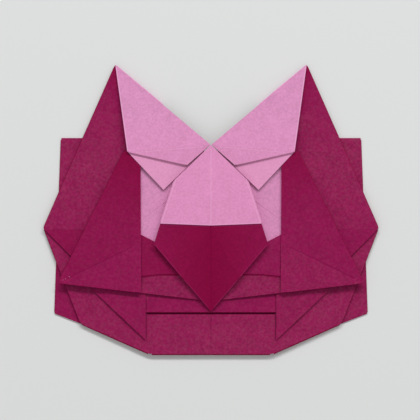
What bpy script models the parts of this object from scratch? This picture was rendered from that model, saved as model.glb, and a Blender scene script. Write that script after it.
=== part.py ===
"""Origami shisa mask: one square of two-colour paper, folded flat, as a single solid.

The mask lies face up on the table (Z = 0) with the ears toward +Y.  The mid-surface of the
paper is built first: every panel is a flat or gently bent polygon at its own height in the
stack, and every fold is a rounded hairpin strip between two panels.  The paper is then given
its thickness.  All sizes are in millimetres and are turned into metres at the very end.
"""
import math

import bmesh
import bpy
from mathutils import Vector

for old in list(bpy.data.objects):
    bpy.data.objects.remove(old, do_unlink=True)

MM = 0.001

# the paper
paper_thickness = 0.10
layer_pitch = 0.25          # height from one layer of the stack to the next
fold_reach = 0.13           # how far a fold between two neighbouring layers stands out
fold_reach_max = 0.30       # the same for a fold that goes round a pile of layers
ear_top_press = 0.45        # the upper and outer folds of the ears are pressed this much flatter
ear_side_press = 0.65
fold_reach_min = 0.08       # the least, where a fold is pressed flat toward a sharp point
fold_steps = 6              # flats round the half turn of a fold
corner_relief = 0.45        # a fold strip stops this far short of the corner of its panel

# outline: half widths are measured from the centre line, heights from the bottom edge
mask_width = 85.2           # between the outermost corners of the ear strips
mask_height = 73.5          # from the bottom edge to the tips of the ears
corner_y = 32.0             # height of the outermost corners
ear_half_width = 24.35      # to the tip of the ear
notch_y = 53.1              # bottom of the notch between the ears
bottom_half_width = 15.5
bottom_angle = 23.8         # the bottom edge rises outward by this many degrees
slope_half_width = 39.8     # lower corner of the back layer, at the end of that slope
slope_y = 10.2
jaw_edge_angle = 68.6       # outer edge of the jaw from the horizontal, degrees

# back layer, seen as the squares beside the ears
back_half_width = 38.1
back_top_y = 54.9
back_notch_half_width = 14.0

# ear lining with its pleat
pleat_outer_x = 21.2
pleat_outer_y = 51.4
pleat_inner_x = 6.0
pleat_inner_y = 48.0
lining_corner_x = 12.05
lining_corner_y = 41.7
hidden_margin = 1.5         # clearance between hidden edges and the lines near them
hidden_gap = 1.0            # between hidden folds that lie on one line
side_gap = 0.5              # between pieces side by side in the stack
set_back = 0.3              # a raw edge stops this far inside the fold that it lies along
skew = 0.1                  # long edges are out of square by this much
centre_gap = 0.12           # the linings stop this far from the centre line
ear_inner_x = 12.0          # the ear front is open between these lines, under the lining

# side flaps
flap_top_x = 21.9
flap_top_y = 51.5
flap_corner_x = 38.6
flap_corner_y = 18.1
flap_inner_x = 17.65
flap_crease_angle = 26.7    # degrees, rising inward from the flap corner
flap_hem_y = 23.5           # upper edge of the hem turned under the flap
flap_hem_inset = 6.0        # how much shorter that edge is at its outer end

# mouth
lip_centre_y = 13.55
lip_top_centre_y = 21.1
lip_top_angle = 27.5        # degrees, rising outward
lip_step_y = 20.2
lip_step_drop = 0.75        # the step sinks by this much at the flap
lip_step_bend_x = 13.2      # it is bent here
lip_step_bend_drop = 0.2
lip_half_width = 18.4
band_y = 10.7               # lower edge of the band between the fangs
band_hem_depth = 6.0        # hem turned under the band
band_hem_inset = 2.5
fang_inner_x = 16.6
fang_tip_y = 3.5
fang_angle = 43.2
fang_edge_inset = 2.4       # the strip beside the fang's long edge that hangs down
fang_hidden_x = 33.3        # outer end of the fang's long edge, under the flap
fang_top_x = 20.4

# nose
nose_shoulder_x = 9.2
nose_shoulder_y = 44.2
nose_hem_x = 12.8
nose_hem_y = 33.15
nose_hem_dip = 0.5          # the pink hem is lower by this much on the centre line
nose_wide_x = 14.45
nose_wide_y = 27.9
nose_tip_y = 10.8
nose_neck = 1.4             # half width of the hidden fold that joins nose and eye layer
eye_bend = 0.9              # the eye layer starts to sink this far above the lip

# bends, in levels of the stack
ear_tip_drop = -2.0         # the ear tips hang lower than the middle of the face
lining_tip_drop = -9.0
pleat_drop = -1.2           # the lowest corner of the lining hangs toward the eye layer
lip_step_height = 0.7
lip_centre_drop = -1.4      # the mouth sinks toward the centre line, where fewer layers lie
eye_centre_drop = -1.1
jaw_edge_rise = 2.0         # the bottom edges bulge
fang_edge_drop = -1.3       # the outer edge of the fang hangs down over the ear's lower edge
flap_crease_drop = -0.7     # the flap is slack along its crease
fang_tip_rise = 0.5
flap_foot_rise = 0.9        # the lower edge of the flap stands off the layers under it
nose_ridge = 1.0            # the nose rises along its centre line
nose_tip_drop = -6.5        # its tip comes down onto the band
nose_side_rise = 3.2        # and its lower edges bulge between the tip and the widest point

# the stack, from the table up; a layer's level is its place in this list
stack = ("back", "side", "ear_back", "jaw", "gusset", "ear", "fang", "eye", "lip",
         "flap_hem", "flap", "pleat_low", "pleat_mid", "lining", "nose_low", "nose_top")
level = {name: place for place, name in enumerate(stack)}


# corners of the panels, right half of the mask
half_width = mask_width / 2
slope_rise = math.tan(math.radians(bottom_angle))
jaw_rise = math.tan(math.radians(jaw_edge_angle))
jaw_x = ((corner_y - half_width * jaw_rise + bottom_half_width * slope_rise)
         / (slope_rise - jaw_rise))
notch_rise = (mask_height - notch_y) / ear_half_width
lip_rise = (flap_corner_y - lip_centre_y) / flap_corner_x
lip_top_rise = math.tan(math.radians(lip_top_angle))
fang_tip_x = fang_inner_x - skew
fang_rise = math.tan(math.radians(fang_angle))
fang_bend_y = fang_tip_y + fang_edge_inset / math.cos(math.radians(fang_angle))
fang_edge_shift = fang_edge_inset * (fang_hidden_x - fang_top_x) / (flap_top_y - flap_corner_y)
hem_foot_x = lip_half_width + side_gap
gusset_x = ear_half_width + hidden_margin
band_in_x = fang_inner_x + band_hem_inset

point = {
    "tip": (ear_half_width, mask_height),
    "corner": (half_width, corner_y),
    "notch": (centre_gap, notch_y),
    "notch_side": (ear_inner_x, notch_y + ear_inner_x * notch_rise),
    "notch_foot": (ear_inner_x, flap_top_y),
    "jaw": (jaw_x, (jaw_x - bottom_half_width) * slope_rise),
    "jaw_in": (bottom_half_width, band_y),
    "bottom": (bottom_half_width, 0.0),
    "slope": (slope_half_width, slope_y),
    "back_top": (back_half_width, back_top_y),
    "back_notch": (back_notch_half_width, back_top_y),
    "back_foot": (0.0, back_top_y - back_notch_half_width),
    "side_top": (ear_half_width, back_top_y),
    "side_foot": (ear_half_width, (ear_half_width - bottom_half_width) * slope_rise
                  + set_back),
    "gusset_in": (ear_half_width, corner_y),
    "gusset_foot": (gusset_x, corner_y - (half_width - gusset_x)),
    "band": (half_width - (corner_y - band_y), band_y),
    "band_in": (band_in_x, band_y),
    "band_hem_top": (band_in_x, band_y + band_hem_depth),
    "ear_back_foot": (ear_half_width, band_y + hidden_margin),
    "pleat": (pleat_outer_x, pleat_outer_y),
    "pleat_in": (pleat_inner_x, pleat_inner_y),
    "lining_corner": (lining_corner_x, lining_corner_y),
    "flap_top": (flap_top_x, flap_top_y),
    "flap_corner": (flap_corner_x, flap_corner_y),
    "flap_foot": (flap_inner_x, lip_centre_y + flap_inner_x * lip_rise),
    "flap_in": (flap_inner_x + 2 * skew, flap_top_y),
    "flap_crease": (flap_inner_x + skew, flap_corner_y + (flap_corner_x - flap_inner_x)
                    * math.tan(math.radians(flap_crease_angle))),
    "hem_foot": (hem_foot_x, lip_centre_y + hem_foot_x * lip_rise),
    "hem_in": (lip_half_width + hidden_margin, flap_hem_y),
    "hem_out": (flap_corner_x - flap_hem_inset, flap_hem_y - hidden_margin),
    "lip_end": (lip_half_width, lip_centre_y + lip_half_width * lip_rise),
    "lip_top": (lip_half_width, lip_top_centre_y + lip_half_width * lip_top_rise),
    "lip_step": (lip_half_width, lip_step_y - lip_step_drop),
    "lip_step_mid": (lip_step_bend_x, lip_step_y - lip_step_bend_drop),
    "lip_step_in": (0.0, lip_step_y),
    "fang_in": (fang_inner_x, flap_top_y),
    "fang_top": (fang_top_x, flap_top_y),
    "fang_out": (fang_hidden_x, fang_tip_y + (fang_hidden_x - fang_tip_x) * fang_rise),
    "fang_tip": (fang_tip_x, fang_tip_y),
    "fang_bend_out": (fang_hidden_x - fang_edge_shift, fang_bend_y + (
        fang_hidden_x - fang_edge_shift - fang_inner_x) * fang_rise),
    "fang_bend_in": (fang_inner_x, fang_bend_y),
    "back_in": (nose_neck + hidden_gap, flap_top_y),
    "back_out": (ear_inner_x - hidden_gap, flap_top_y),
    "neck": (nose_neck, flap_top_y),
    "shoulder": (nose_shoulder_x, nose_shoulder_y),
    "hem": (nose_hem_x, nose_hem_y),
    "wide": (nose_wide_x, nose_wide_y),
    "nose_side": (nose_wide_x / 2, (nose_wide_y + nose_tip_y) / 2),
    "eye_side": (fang_inner_x - eye_bend, lip_top_centre_y + lip_half_width * lip_top_rise),
}
riser = 0.32                # run of the small step in the lip
for name in ("lip_step", "lip_step_mid", "lip_step_in"):
    x, y = point[name]
    point[name + "_up"] = (x, y + riser)


centre = {
    "lip_foot": lip_centre_y,
    "eye_low": lip_top_centre_y + eye_bend,
    "lip_top_0": lip_top_centre_y,
    "nose_apex": notch_y - skew,
    "nose_hem_0": nose_hem_y - nose_hem_dip,
    "nose_mid": (nose_shoulder_y + nose_hem_y) / 2,
    "nose_tip": nose_tip_y,
}
for name, y in centre.items():
    point[name] = (0.0, y)


class Surface:
    """Mid-surface of the paper: panels that share corners, and fold strips between them."""

    def __init__(self):
        self.bm = bmesh.new()
        self.heights = {}
        self.faces = []
        self.cuts = {}
        self.verts = {}
        self.folds = []

    def panel(self, name, base, rings, lift=None):
        """Rings are lists of corners; a corner is (point name, side). Lift is in levels."""
        for ring in rings:
            for corner in ring:
                extra = (lift or {}).get(corner[0], 0.0)
                self.heights[name, corner] = base + extra
            self.faces.append((name, ring))

    def fold(self, panel_a, panel_b, start, end, pieces=3, press=1.0, ends=(1.0, 1.0)):
        """Join two panels along the line start-end, which is an edge of both.

        The factor `press` narrows the whole fold, and the two in `ends` its start and its end.
        """
        relief = corner_relief / (where(end) - where(start)).length
        stops = [relief + (1.0 - 2.0 * relief) * i / pieces for i in range(pieces + 1)]
        for panel in (panel_a, panel_b):
            self.cuts[panel, start, end] = stops
        self.folds.append((panel_a, panel_b, start, end, stops, press, ends))

    def middle(self, panel):
        corners = [where(c) for name, ring in self.faces if name == panel for c in ring]
        return sum(corners, Vector((0.0, 0.0, 0.0))) / len(corners)

    def corner(self, panel, corner):
        key = (panel, corner)
        if key not in self.verts:
            flat = where(corner)
            z = self.heights[key] * layer_pitch
            self.verts[key] = self.bm.verts.new((flat.x, flat.y, z))
        return self.verts[key]

    def cut(self, panel, start, end, stop):
        key = (panel, start, end, round(stop, 6))
        if key not in self.verts:
            a = self.corner(panel, start).co
            b = self.corner(panel, end).co
            self.verts[key] = self.bm.verts.new(a.lerp(b, stop))
        return self.verts[key]

    def build(self):
        for panel, ring in self.faces:
            loop = []
            for here, there in zip(ring, ring[1:] + ring[:1]):
                loop.append(self.corner(panel, here))
                if (panel, here, there) in self.cuts:
                    for stop in self.cuts[panel, here, there]:
                        loop.append(self.cut(panel, here, there, stop))
                elif (panel, there, here) in self.cuts:
                    for stop in reversed(self.cuts[panel, there, here]):
                        loop.append(self.cut(panel, there, here, stop))
            self.bm.faces.new(loop)
        for panel_a, panel_b, start, end, stops, press, ends in self.folds:
            along = (where(end) - where(start)).normalized()
            out = Vector((along.y, -along.x, 0.0))
            if out.dot(self.middle(panel_a) - where(start)) > 0.0:
                out = -out
            rows = []
            for stop in stops:
                a = self.cut(panel_a, start, end, stop)
                b = self.cut(panel_b, start, end, stop)
                tall = abs(a.co.z - b.co.z)
                reach = min(fold_reach * (0.6 + 0.4 * tall / layer_pitch), fold_reach_max)
                reach *= press
                if stop in (stops[0], stops[-1]):
                    reach = max(reach * ends[stop == stops[-1]], fold_reach_min)
                middle = (a.co + b.co) / 2
                row = [a]
                for i in range(1, fold_steps):
                    turn = math.pi * i / fold_steps
                    place = middle + (a.co - middle) * math.cos(turn)
                    row.append(self.bm.verts.new(place + out * reach * math.sin(turn)))
                rows.append(row + [b])
            for near, far in zip(rows, rows[1:]):
                for i in range(fold_steps):
                    self.bm.faces.new((near[i], near[i + 1], far[i + 1], far[i]))
        return self.bm


def where(corner):
    name, side = corner
    x, y = point[name]
    return Vector((x * side, y, 0.0))


def on(side, *names):
    """Corners of one side; a point on the centre line is shared by both sides."""
    return [(name, side if point[name][0] > 0.0 else 1) for name in names]


def across(*names):
    """A ring that runs down the right side through the names and back up the left side."""
    right = on(1, *names)
    left = [corner for corner in reversed(on(-1, *names)) if corner not in right]
    return right + left


paper = Surface()

# panels that reach across the centre line
paper.panel("back", level["back"], [across(
    "back_foot", "back_notch", "back_top", "slope", "jaw", "bottom")])
paper.panel("jaw", level["jaw"], [
    across("gusset_in", "corner", "jaw_in"),
    across("jaw_in", "bottom")]
    + [on(side, "jaw_in", "corner", "jaw", "bottom") for side in (1, -1)],
    {"jaw": jaw_edge_rise / 2, "bottom": jaw_edge_rise})
paper.panel("ear", level["ear"], [across(
    "back_in", "back_out", "notch_foot", "notch_side", "tip", "corner", "gusset_foot", "band",
    "band_in")], {"tip": ear_tip_drop, "notch_side": ear_tip_drop / 2})
paper.panel("band_hem", level["gusset"], [across("band_hem_top", "band_in")])
paper.panel("eye", level["eye"], [
    across("neck", "back_in", "back_out", "fang_in", "fang_top", "flap_top", "flap_corner",
           "lip_end", "eye_side"),
    across("eye_side", "eye_low")]
    + [on(side, *ring) for side in (1, -1) for ring in (
        ("eye_side", "lip_end", "eye_low"), ("lip_end", "lip_foot", "eye_low"))],
    {"lip_foot": eye_centre_drop, "eye_low": eye_centre_drop * 0.75})
raised = ("lip_step_up", "lip_step_mid_up", "lip_step_in_up", "lip_top", "lip_top_0")
paper.panel("lip", level["lip"], [
    across("lip_step_in", "lip_step_mid", "lip_step", "lip_end", "lip_foot"),
    across("lip_step_in_up", "lip_step_mid_up", "lip_step_up", "lip_step", "lip_step_mid",
           "lip_step_in"),
    across("lip_top_0", "lip_top", "lip_step_up", "lip_step_mid_up", "lip_step_in_up")],
    {**{name: lip_step_height for name in raised},
     "lip_foot": lip_centre_drop, "lip_step_in": lip_centre_drop / 2,
     "lip_step_in_up": lip_step_height + lip_centre_drop / 2})
paper.panel("nose_low", level["nose_low"], [
    on(1, "neck", "nose_mid") + on(-1, "neck")]
    + [ring for side in (1, -1) for ring in (
        on(side, "neck", "shoulder", "hem", "nose_hem_0", "nose_mid"),
        on(side, "hem", "wide", "nose_side", "nose_hem_0"),
        on(side, "nose_side", "nose_tip", "nose_hem_0"))],
    {"nose_hem_0": nose_ridge, "nose_mid": nose_ridge / 2, "wide": nose_ridge / 2,
     "nose_side": nose_tip_drop / 2 + nose_side_rise, "nose_tip": nose_tip_drop})
paper.panel("nose_top", level["nose_top"], [
    on(side, "nose_apex", "shoulder", "hem", "nose_hem_0") for side in (1, -1)],
    {"nose_hem_0": nose_ridge})

# panels that come in pairs
for side in (1, -1):
    def pair(name, layer, *rings, lift=None, side=side):
        paper.panel((name, side), level[layer], [on(side, *ring) for ring in rings], lift)

    pair("side", "side", ("side_top", "back_top", "slope", "side_foot"))
    pair("ear_back", "ear_back", ("tip", "corner", "jaw", "ear_back_foot"))
    pair("gusset", "gusset", ("corner", "gusset_in", "gusset_foot"))
    pair("fang", "fang", ("fang_in", "fang_top", "fang_bend_out", "fang_bend_in"),
         ("fang_bend_in", "fang_bend_out", "fang_out", "fang_tip"),
         lift={"fang_tip": fang_tip_rise, "fang_out": fang_edge_drop})
    pair("flap", "flap", ("flap_top", "flap_corner", "flap_crease", "flap_in"),
         ("flap_corner", "hem_foot", "flap_foot", "flap_crease"),
         lift={"flap_crease": flap_crease_drop, "hem_foot": flap_foot_rise,
               "flap_foot": flap_foot_rise})
    pair("flap_hem", "flap_hem", ("flap_corner", "hem_foot", "hem_in", "hem_out"),
         lift={"hem_foot": flap_foot_rise})
    pair("pleat_low", "pleat_low", ("pleat", "lining_corner", "notch"),
         lift={"lining_corner": pleat_drop})
    pair("pleat_mid", "pleat_mid", ("pleat", "pleat_in", "notch"))
    pair("lining", "lining", ("tip", "notch_side", "pleat"), ("notch_side", "notch", "pleat"),
         ("notch", "pleat_in", "pleat"),
         lift={"tip": lining_tip_drop, "notch_side": lining_tip_drop / 2})

# folds that cross the centre line
paper.fold("jaw", "back", ("bottom", 1), ("bottom", -1), 4)
paper.fold("ear", "band_hem", ("band_in", 1), ("band_in", -1), 4)
paper.fold("eye", "nose_low", ("neck", 1), ("neck", -1))

# folds that come in pairs: two panels and the two ends of the line; a fold is pressed flatter
# toward the sharp points of the outline
narrow = {"notch_side": 0.3, "tip": 0.5, "corner": 0.4, "slope": 0.7}
pressed = {"lining": ear_top_press, "ear": ear_side_press}
for side in (1, -1):
    for panel_a, panel_b, start, end in (
            ("jaw", "back", "jaw", "bottom"),
            ("back", "side", "back_top", "slope"),
            ("jaw", "ear_back", "corner", "jaw"),
            ("ear", "ear_back", "tip", "corner"),
            ("gusset", "jaw", "corner", "gusset_in"),
            ("gusset", "ear", "corner", "gusset_foot"),
            ("lining", "ear", "tip", "notch_side"),
            ("pleat_mid", "lining", "pleat", "pleat_in"),
            ("pleat_low", "pleat_mid", "pleat", "notch"),
            ("ear", "eye", "back_in", "back_out"),
            ("eye", "fang", "fang_in", "fang_top"),
            ("eye", "lip", "lip_end", "lip_foot"),
            ("eye", "flap", "flap_top", "flap_corner"),
            ("flap", "flap_hem", "flap_corner", "hem_foot"),
            ("nose_low", "nose_top", "shoulder", "hem")):
        names = {name for name, ring in paper.faces if isinstance(name, str)}
        panels = [name if name in names else (name, side) for name in (panel_a, panel_b)]
        ends = [on(side, name)[0] for name in (start, end)]
        paper.fold(*panels, *ends, press=pressed[panel_a] if start == "tip" else 1.0,
                   ends=[narrow.get(name, 1.0) for name in (start, end)])

bm = paper.build()
bmesh.ops.recalc_face_normals(bm, faces=bm.faces)
bmesh.ops.triangulate(bm, faces=bm.faces, quad_method="SHORT_EDGE", ngon_method="BEAUTY")

mesh = bpy.data.meshes.new("folded_sheet")
bm.to_mesh(mesh)
bm.free()
sheet = bpy.data.objects.new("folded_sheet", mesh)
bpy.context.scene.collection.objects.link(sheet)

# give the paper its thickness, half to each side of the mid-surface
thicken = sheet.modifiers.new("thickness", "SOLIDIFY")
thicken.thickness = paper_thickness
thicken.offset = 0.0
thicken.use_even_offset = True
thicken.use_quality_normals = True
depsgraph = bpy.context.evaluated_depsgraph_get()
solid = bpy.data.meshes.new_from_object(sheet.evaluated_get(depsgraph))
sheet.modifiers.clear()
sheet.data = solid

# rest on the table, with the origin under the middle of the outline
low = Vector([min(v.co[i] for v in solid.vertices) for i in range(3)])
high = Vector([max(v.co[i] for v in solid.vertices) for i in range(3)])
shift = Vector(((low.x + high.x) / 2, (low.y + high.y) / 2, low.z))
for v in solid.vertices:
    v.co = (v.co - shift) * MM

finish = bpy.data.materials.new("paper")
finish.use_nodes = True
shader = finish.node_tree.nodes["Principled BSDF"]
shader.inputs["Base Color"].default_value = (0.26, 0.008, 0.08, 1.0)
shader.inputs["Roughness"].default_value = 0.85
solid.materials.clear()
solid.materials.append(finish)
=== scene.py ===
import math

import bmesh
import bpy
from mathutils import Matrix, Vector
from mathutils.bvhtree import BVHTree


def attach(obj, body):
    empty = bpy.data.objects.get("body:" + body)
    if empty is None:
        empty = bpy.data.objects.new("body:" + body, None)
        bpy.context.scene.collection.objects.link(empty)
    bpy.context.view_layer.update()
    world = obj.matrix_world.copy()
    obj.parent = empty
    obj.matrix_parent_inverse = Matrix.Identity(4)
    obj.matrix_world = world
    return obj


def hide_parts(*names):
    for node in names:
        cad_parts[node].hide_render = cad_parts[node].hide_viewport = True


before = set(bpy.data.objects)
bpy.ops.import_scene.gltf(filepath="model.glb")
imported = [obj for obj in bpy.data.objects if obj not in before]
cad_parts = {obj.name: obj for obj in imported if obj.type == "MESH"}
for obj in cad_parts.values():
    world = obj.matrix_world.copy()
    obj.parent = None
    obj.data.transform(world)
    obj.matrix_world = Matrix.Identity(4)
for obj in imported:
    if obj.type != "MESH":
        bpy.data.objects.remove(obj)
scene = bpy.context.scene
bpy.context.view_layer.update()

# Folded sheet: one square of thin craft paper, dyed magenta on one face and pale pink on the
# other, folded flat into the mask and held by nothing but its creases. The imported mesh has the
# panels and the folds; here the two faces of the paper and its cut edge get their colours, with
# shade, sheen and highlights painted into them.
MM = 0.001


def linear(code):
    """sRGB hex as a linear RGBA colour."""
    values = [int(code[i:i + 2], 16) / 255 for i in (0, 2, 4)]
    return [v / 12.92 if v <= 0.04045 else ((v + 0.055) / 1.055) ** 2.4 for v in values] + [1.0]


def node(tree, kind, inputs=None, **settings):
    """Adds a shader node; an input's value is a number, a colour or another node's output."""
    made = tree.nodes.new(kind)
    for name, value in settings.items():
        setattr(made, name, value)
    for name, value in (inputs or {}).items():
        if isinstance(value, bpy.types.NodeSocket):
            tree.links.new(value, made.inputs[name])
        else:
            made.inputs[name].default_value = value
    return made


def paper(name, deep, plain=None, sheen_grey=None, mottle=0.0, fibres=0.0):
    """Dyed pulp paper, calendered: matte, finely mottled, with a few pale fibres on top.

    The attribute read below paints light and shade: from the deep colour, painted shade (0),
    over the plain one (0.5) to the greyer one, a painted reflection of the sky (1). The deep
    colour stands for one that isn't given. Mottle is how far the tone strays, as a share of
    it, and fibres how much white the palest fibres have.
    """
    fibre_width = 0.55 * MM                     # coarser than real fibres, so that they show
    fleck_width = fibre_width / 0.8             # of the pale fibres
    blotch_width = 3.0 * MM                     # of the clouds in the dye
    blotch_share = 0.35                         # how much they count beside the fibres
    tooth_width = 0.4 * MM                      # of the pits that calendering leaves
    tooth_depth = 0.05 * MM
    mat = bpy.data.materials.new(name)
    mat.use_nodes = True
    tree = mat.node_tree
    shader = tree.nodes["Principled BSDF"]
    place = node(tree, "ShaderNodeTexCoord").outputs["Object"]
    # painted shade (0) and painted sheen of the sky (1) of each panel, set on the sheet's
    # corners below
    painted_shade_and_sheen = node(tree, "ShaderNodeAttribute", attribute_name="painted_shade_and_sheen").outputs["Fac"]

    # Colour: the deep, plain and grey colours by the painted shade and sheen, with the pale
    # fibres on top.
    fleck = node(tree, "ShaderNodeTexNoise", {
        "Vector": place, "Scale": 1 / fleck_width, "Detail": 2.0, "W": 5.0},
        noise_dimensions="4D").outputs[0]
    pale = node(tree, "ShaderNodeMapRange", {
        "Value": fleck, "From Min": 0.40, "From Max": 0.65, "To Max": fibres})
    pale = node(tree, "ShaderNodeMath", {0: pale.outputs[0], 1: painted_shade_and_sheen}, operation="MULTIPLY")
    rise = node(tree, "ShaderNodeMapRange", {"Value": painted_shade_and_sheen, "From Max": 0.5})
    painted_sheen_share = node(tree, "ShaderNodeMapRange", {"Value": painted_shade_and_sheen, "From Min": 0.5})
    colour = linear(deep)
    for amount, other in ((rise, plain or deep), (painted_sheen_share, sheen_grey or deep), (pale, "ffffff")):
        mix = node(tree, "ShaderNodeMix", {0: amount.outputs[0], 6: colour, 7: linear(other)},
                   data_type="RGBA")
        colour = mix.outputs[2]

    # Tone: fibres and clouds together, half as strong on a panel painted deep as in shade.
    grain = node(tree, "ShaderNodeTexNoise", {
        "Vector": place, "Scale": 1 / fibre_width, "Detail": 3.0, "Roughness": 0.6}).outputs[0]
    blotch = node(tree, "ShaderNodeTexNoise", {
        "Vector": place, "Scale": 1 / blotch_width, "Detail": 2.0}).outputs[0]
    both = node(tree, "ShaderNodeMath", {0: blotch, 1: blotch_share, 2: grain},
                operation="MULTIPLY_ADD")
    middle, spread = (1 + blotch_share) / 2, 0.2
    tone = node(tree, "ShaderNodeMapRange", {
        "Value": both.outputs[0], "From Min": middle - spread, "From Max": middle + spread,
        "To Min": 1 - mottle, "To Max": 1 + mottle})
    share = node(tree, "ShaderNodeMapRange", {"Value": painted_shade_and_sheen, "To Min": 0.5})
    colour = node(tree, "ShaderNodeHueSaturation", {
        "Fac": share.outputs[0], "Value": tone.outputs[0], "Color": colour})
    tree.links.new(colour.outputs[0], shader.inputs["Base Color"])

    # Surface: a fine tooth with hardly any gloss.
    tooth = node(tree, "ShaderNodeTexNoise", {
        "Vector": place, "Scale": 1 / tooth_width, "Detail": 2.0})
    bump = node(tree, "ShaderNodeBump", {
        "Height": tooth.outputs[0], "Strength": 0.15, "Distance": tooth_depth})
    tree.links.new(bump.outputs[0], shader.inputs["Normal"])
    shader.inputs["Roughness"].default_value = 0.75
    shader.inputs["Specular IOR Level"].default_value = 0.05
    return mat


# The magenta and the pink paper each have a deep colour that is painted shade, a plain one, and
# a greyer one that is painted sheen of the sky.
papers = [
    paper("paper_magenta", "88073e", "921550", "951f54", mottle=0.19, fibres=0.015),
    paper("paper_pink", "eba1cb", "e696c5", "dc94c0", mottle=0.11),
    paper("paper_edge", "a04a76"),              # the cut, where both dyes show
    paper("painted_shade_magenta", "5c0028"),             # magenta painted dark: shade in creases and shadows where edges meet the layer below
    paper("painted_soft_shade_magenta", "7e0b44"),             # magenta painted a little darker along soft creases: painted shade
    paper("magenta_highlight_and_specks", "98245c"),             # pale magenta: painted highlight on folded edges, painted light over a shadowed step, and specks
    paper("painted_shade_pink", "c880ac"),             # pink painted dark: shade of a fold
    paper("pink_highlight_and_wear", "f0b0d6"),            # pale pink: painted highlight on folded edges and creases, where fibres are also worn pale
    paper("worn_white", "e8b8d0")]              # magenta, worn down to the bare pulp
slots = {mat.name: i for i, mat in enumerate(papers)}

sheet = bpy.data.objects.new("folded_paper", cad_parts["folded_sheet"].data.copy())
scene.collection.objects.link(sheet)
sheet.data.materials.clear()
for mat in papers:
    sheet.data.materials.append(mat)

# Places on the right half of the mask, in mm on the table plane. The ear is painted deeper, as
# in shade, beside the folded edge of its lining and below its crease, so its faces are divided
# there.
lining_tip = Vector((24.1, 36.4))
lining_foot = Vector((21.05, 15.2))
shade_width = 3.5
ear_crease_y = -5.0
outward = Vector((lining_tip.y - lining_foot.y, lining_foot.x - lining_tip.x)).normalized()
shade_line = lining_tip + outward * shade_width
bm = bmesh.new()
bm.from_mesh(sheet.data)
bmesh.ops.remove_doubles(bm, verts=bm.verts, dist=0.002 * MM)
for x, y, across_x, across_y in (
        (shade_line.x, shade_line.y, outward.x, outward.y),
        (-shade_line.x, shade_line.y, -outward.x, outward.y),
        (0.0, ear_crease_y, 0.0, 1.0)):
    bmesh.ops.bisect_plane(
        bm, geom=bm.verts[:] + bm.edges[:] + bm.faces[:], dist=0.0001 * MM,
        plane_co=(x * MM, y * MM, 0.0), plane_no=(across_x, across_y, 0.0))

# The two faces of the paper are told apart by walking over the joined faces, round every fold
# and never across the cut edge. The magenta one holds the lowest panel, the back.
cut_angle = math.radians(42)
painted_shade_and_sheen = bm.loops.layers.float.new("painted_shade_and_sheen")
group = {}
areas = []
for first in bm.faces:
    if first in group:
        continue
    group[first] = len(areas)
    area, queue = 0.0, [first]
    while queue:
        face = queue.pop()
        area += face.calc_area()
        for edge in face.edges:
            if len(edge.link_faces) == 2 and edge.calc_face_angle(0.0) < cut_angle:
                for other in edge.link_faces:
                    if other not in group:
                        group[other] = len(areas)
                        queue.append(other)
    areas.append(area)
side_magenta = group[min(bm.faces, key=lambda face: face.calc_center_median().z)]
side_pink = max((i for i in range(len(areas)) if i != side_magenta), key=lambda i: areas[i])
kinds = {side_magenta: "paper_magenta", side_pink: "paper_pink"}


def panel(kind, x, y, z):
    """The name of the panel at a place on the sheet, told by its height in the stack, in mm."""
    if kind == "paper_pink":
        if z > 3.6:
            return "nose_top"
        if z > 2.7 and y < 14.0:
            return "pleat"
        return "eye" if z < 1.95 and y < 12.0 else "lining"
    if z > 2.9:
        return "nose"
    if z > 2.32 and abs(x) > 17.0:
        return "flap_foot" if y < -14.0 else "flap"
    if z > 2.2:
        return "cheek"
    if z < 0.5:
        return "back_foot" if y < 0.0 else "back_top"
    if abs(x) > 16.4 and 1.42 < z < 1.75:
        return "fang"
    if 1.25 < z < 1.42 and y < -12.0:
        return "band"
    if y < -12.0 or abs(x) < 19.0:
        return "jaw"
    return "ear_corner" if y < ear_crease_y else "ear"


# Painted shade and sheen of each panel, on the left and on the right (more sheen on the right,
# nearer the window), and how it changes over some of them, for each mm: painted shade on panels
# that tilt away or lie under edges, painted sheen where a flat panel mirrors the sky. A rounded
# fold keeps the deep colour of painted shade.
panel_painted_light = {
    "nose_top": (0.5, 0.5), "pleat": (0.1, 0.1), "eye": (0.85, 0.85), "lining": (0.9, 0.9),
    "nose": (0.0, 0.0), "flap": (0.4, 0.5), "flap_foot": (0.5, 0.7), "cheek": (0.3, 0.55),
    "back_top": (0.9, 1.0), "back_foot": (0.5, 0.9), "fang": (0.55, 0.75), "jaw": (0.85, 0.95),
    "band": (0.5, 0.5), "ear": (1.0, 1.0), "ear_corner": (0.35, 0.5)}
ear_fade = 0.02                                 # from its middle to its tip and its crease
ear_middle_y = 10.0
sheen_left_in_painted_shade = 0.1                               # share of painted sheen left right beside the lining, where the ear is painted in shade
lining_fade = 0.025                             # down to the pleat
lining_top_y = 22.0
flap_fade = 0.025                               # up to the lining
nose_rise = 0.018                               # from its middle crease to its sides
flat_limit = 0.9                                # least upright part of a flat face's normal
for face in bm.faces:
    kind = kinds.get(group[face], "paper_edge")
    face.material_index = slots[kind]
    face.smooth = False
    if abs(face.normal.z) <= flat_limit:
        continue
    x, y, z = face.calc_center_median() / MM
    name = panel(kind, x, y, z)
    for corner in face.loops:
        level = panel_painted_light[name][x > 0.0]
        spot = Vector((abs(corner.vert.co.x), corner.vert.co.y)) / MM
        if name == "ear":
            clear = max(0.0, (spot - lining_tip).dot(outward) / shade_width)
            level -= ear_fade * abs(spot.y - ear_middle_y)
            level *= min(1.0, sheen_left_in_painted_shade + (1 - sheen_left_in_painted_shade) * clear)
        elif name == "lining":
            level -= lining_fade * (lining_top_y - spot.y)
        elif name == "flap":
            level -= flap_fade * max(0.0, spot.y)
        elif name == "nose":
            level += nose_rise * spot.x
        corner[painted_shade_and_sheen] = level
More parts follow.
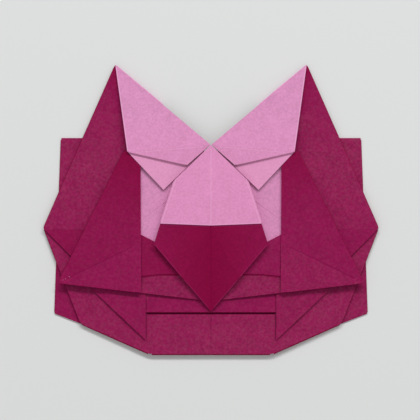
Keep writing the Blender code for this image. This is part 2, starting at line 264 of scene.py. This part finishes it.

# Creases that don't change the outline, some painted dark for shade and some pale for a
# highlight;
# painted highlights on the rims of folded edges; painted shadows where an edge meets the layer
# under it; a strip painted lighter over the shadow of the step below the nose's hem; and a few
# worn specks: low ridges, set into whatever lies on top. Each has its ends on the table plane
# and its half width, in mm; most are on both sides.
ridges = [
    ("painted_shade_magenta", (0.0, -35.5), (0.0, -27.0), 0.05),           # painted shade in the middle crease of the jaw
    ("painted_shade_magenta", (0.0, -24.8), (0.0, -4.4), 0.03),            # painted shade in the middle crease of the nose
    ("pink_highlight_and_wear", (0.0, -3.9), (0.0, 15.6), 0.08),            # painted highlight and wear on the middle crease of its pink top
    ("painted_shade_magenta", (-16.3, -26.35), (16.3, -26.35), 0.25),      # painted shadow under the band's lower edge
    ("painted_soft_shade_magenta", (36.8, 17.3), (34.4, 14.9), 0.05),           # painted shade in the crease at the corner of the back
    ("painted_soft_shade_magenta", (-8.2, -21.8), (-6.7, -20.6), 0.05),         # painted shade in a crease on the lip
    ("worn_white", (-37.6, -17.75), (-37.45, -17.68), 0.04),     # left tip of the flap
    ("worn_white", (-37.0, -17.45), (-36.85, -17.38), 0.04),
    ("worn_white", (-36.0, -16.95), (-35.8, -16.86), 0.04),
    ("magenta_highlight_and_specks", (-3.75, -11.0), (-3.55, -11.0), 0.10),       # specks on the nose
    ("magenta_highlight_and_specks", (-0.1, -18.2), (0.1, -18.2), 0.08)]
for side in (1, -1):
    for kind, (x0, y0), (x1, y1), half in (
            ("pink_highlight_and_wear", (20.4, 14.4), (2.0, 16.0), 0.05),       # painted highlight and wear on the upper line of the pleat
            ("pink_highlight_and_wear", lining_tip, lining_foot, 0.08),         # painted highlight on the rim of the ear lining
            ("pink_highlight_and_wear", (8.9, 7.6), (12.5, -3.2), 0.08),        # painted highlight on the rim of the nose
            ("pink_highlight_and_wear", (12.6, -3.30), (0.3, -3.76), 0.06),     # painted highlight on the hem of the nose
            ("magenta_highlight_and_specks", (12.6, -3.60), (0.3, -4.05), 0.22),      # the step below it, painted lighter against its own shadow
            ("magenta_highlight_and_specks", (14.2, -8.8), (0.8, -24.7), 0.12),       # painted highlight on the lower rim of the nose
            ("painted_shade_pink", (17.2, -2.1), (11.0, 2.4), 0.05),        # painted shade of a crease beside the nose
            # painted shade in the ear's crease
            ("painted_soft_shade_magenta", (41.4, ear_crease_y), (31.0, ear_crease_y), 0.03),
            ("painted_soft_shade_magenta", (36.4, -17.35), (20.0, -9.3), 0.10),     # painted shade in the crease across the flap
            ("painted_shade_magenta", (17.9, -17.2), (13.2, -16.7), 0.04),     # painted shadow under the step of the lip
            ("painted_shade_magenta", (13.2, -16.7), (8.0, -16.55), 0.04),
            ("painted_shade_magenta", (17.55, -20.4), (17.55, -6.6), 0.04),    # painted shadow beside the inner edge of the flap
            ("painted_shade_magenta", (16.45, -32.6), (16.45, -26.5), 0.05),   # painted shadow beside the inner edge of the fang
            ("painted_shade_magenta", (16.45, -25.6), (16.45, -22.0), 0.05)):
        ridges.append((kind, (x0 * side, y0), (x1 * side, y1), half))
ridge_height = 0.02 * MM                        # of its middle line, above the paper
ridge_depth = 0.004 * MM                        # of its two sides, in the paper
ridge_step = 1.5 * MM
above = Vector((0.0, 0.0, 20 * MM))
down = Vector((0.0, 0.0, -1.0))
top = BVHTree.FromBMesh(bm)
for kind, start, end, half in ridges:
    start, end = Vector(start) * MM, Vector(end) * MM
    run = end - start
    place = (Matrix.Translation(((start + end) / 2).to_3d())
             @ Matrix.Rotation(math.atan2(run.y, run.x), 4, "Z")
             @ Matrix.Diagonal((run.length, 2 * half * MM, 1.0, 1.0)))
    made = bmesh.ops.create_grid(
        bm, x_segments=max(2, round(run.length / ridge_step)), y_segments=2, size=0.5,
        matrix=place)["verts"]
    back = place.inverted()
    for vert in made:
        middle = abs((back @ vert.co).y) < 0.25         # its three rows are at -0.5, 0 and 0.5
        hit = top.ray_cast(vert.co + above, down)[0]
        vert.co.z = hit.z + (ridge_height if middle else -ridge_depth)
    for face in {face for vert in made for face in vert.link_faces}:
        face.material_index = slots[kind]
bm.to_mesh(sheet.data)
bm.free()
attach(sheet, "root")
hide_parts("folded_sheet")

# Table: a plain white matte top under the mask.
bpy.ops.mesh.primitive_plane_add(size=4.0, location=(0.0, 0.0, 0.0))
table = bpy.context.object
table.name = "table_top"
lacquer = bpy.data.materials.new("table_white")
lacquer.use_nodes = True
shader = lacquer.node_tree.nodes["Principled BSDF"]
shader.inputs["Base Color"].default_value = linear("e6e8e7")
shader.inputs["Roughness"].default_value = 0.9
table.data.materials.append(lacquer)

# Soft daylight all round, and a long window beyond the ears, a little to the right.
world = bpy.data.worlds.new("room")
scene.world = world
world.use_nodes = True
world.node_tree.nodes["Background"].inputs["Color"].default_value = linear("ffffff")
world.node_tree.nodes["Background"].inputs["Strength"].default_value = 0.465

data = bpy.data.lights.new("window", "AREA")
data.shape = "RECTANGLE"
data.size = 1.6
data.size_y = 0.25
data.energy = 18.8
window = bpy.data.objects.new("window", data)
window.location = (0.18, 1.18, 1.10)
window.rotation_euler = (-window.location).to_track_quat("-Z", "Y").to_euler()
scene.collection.objects.link(window)

# Camera: straight down, as in the photo. At a height of 1.5 mm above the table, in the lower
# half of the pile, its view is 106.7 mm wide.
view_width = 0.1067
view_distance = 0.45
plane_height = 0.0015
data = bpy.data.cameras.new("camera")
data.sensor_width = 36.0
data.lens = data.sensor_width * view_distance / view_width
camera = bpy.data.objects.new("camera", data)
camera.location = (-0.00025, 0.0, plane_height + view_distance)
scene.collection.objects.link(camera)
scene.camera = camera
scene.view_settings.view_transform = "Standard"
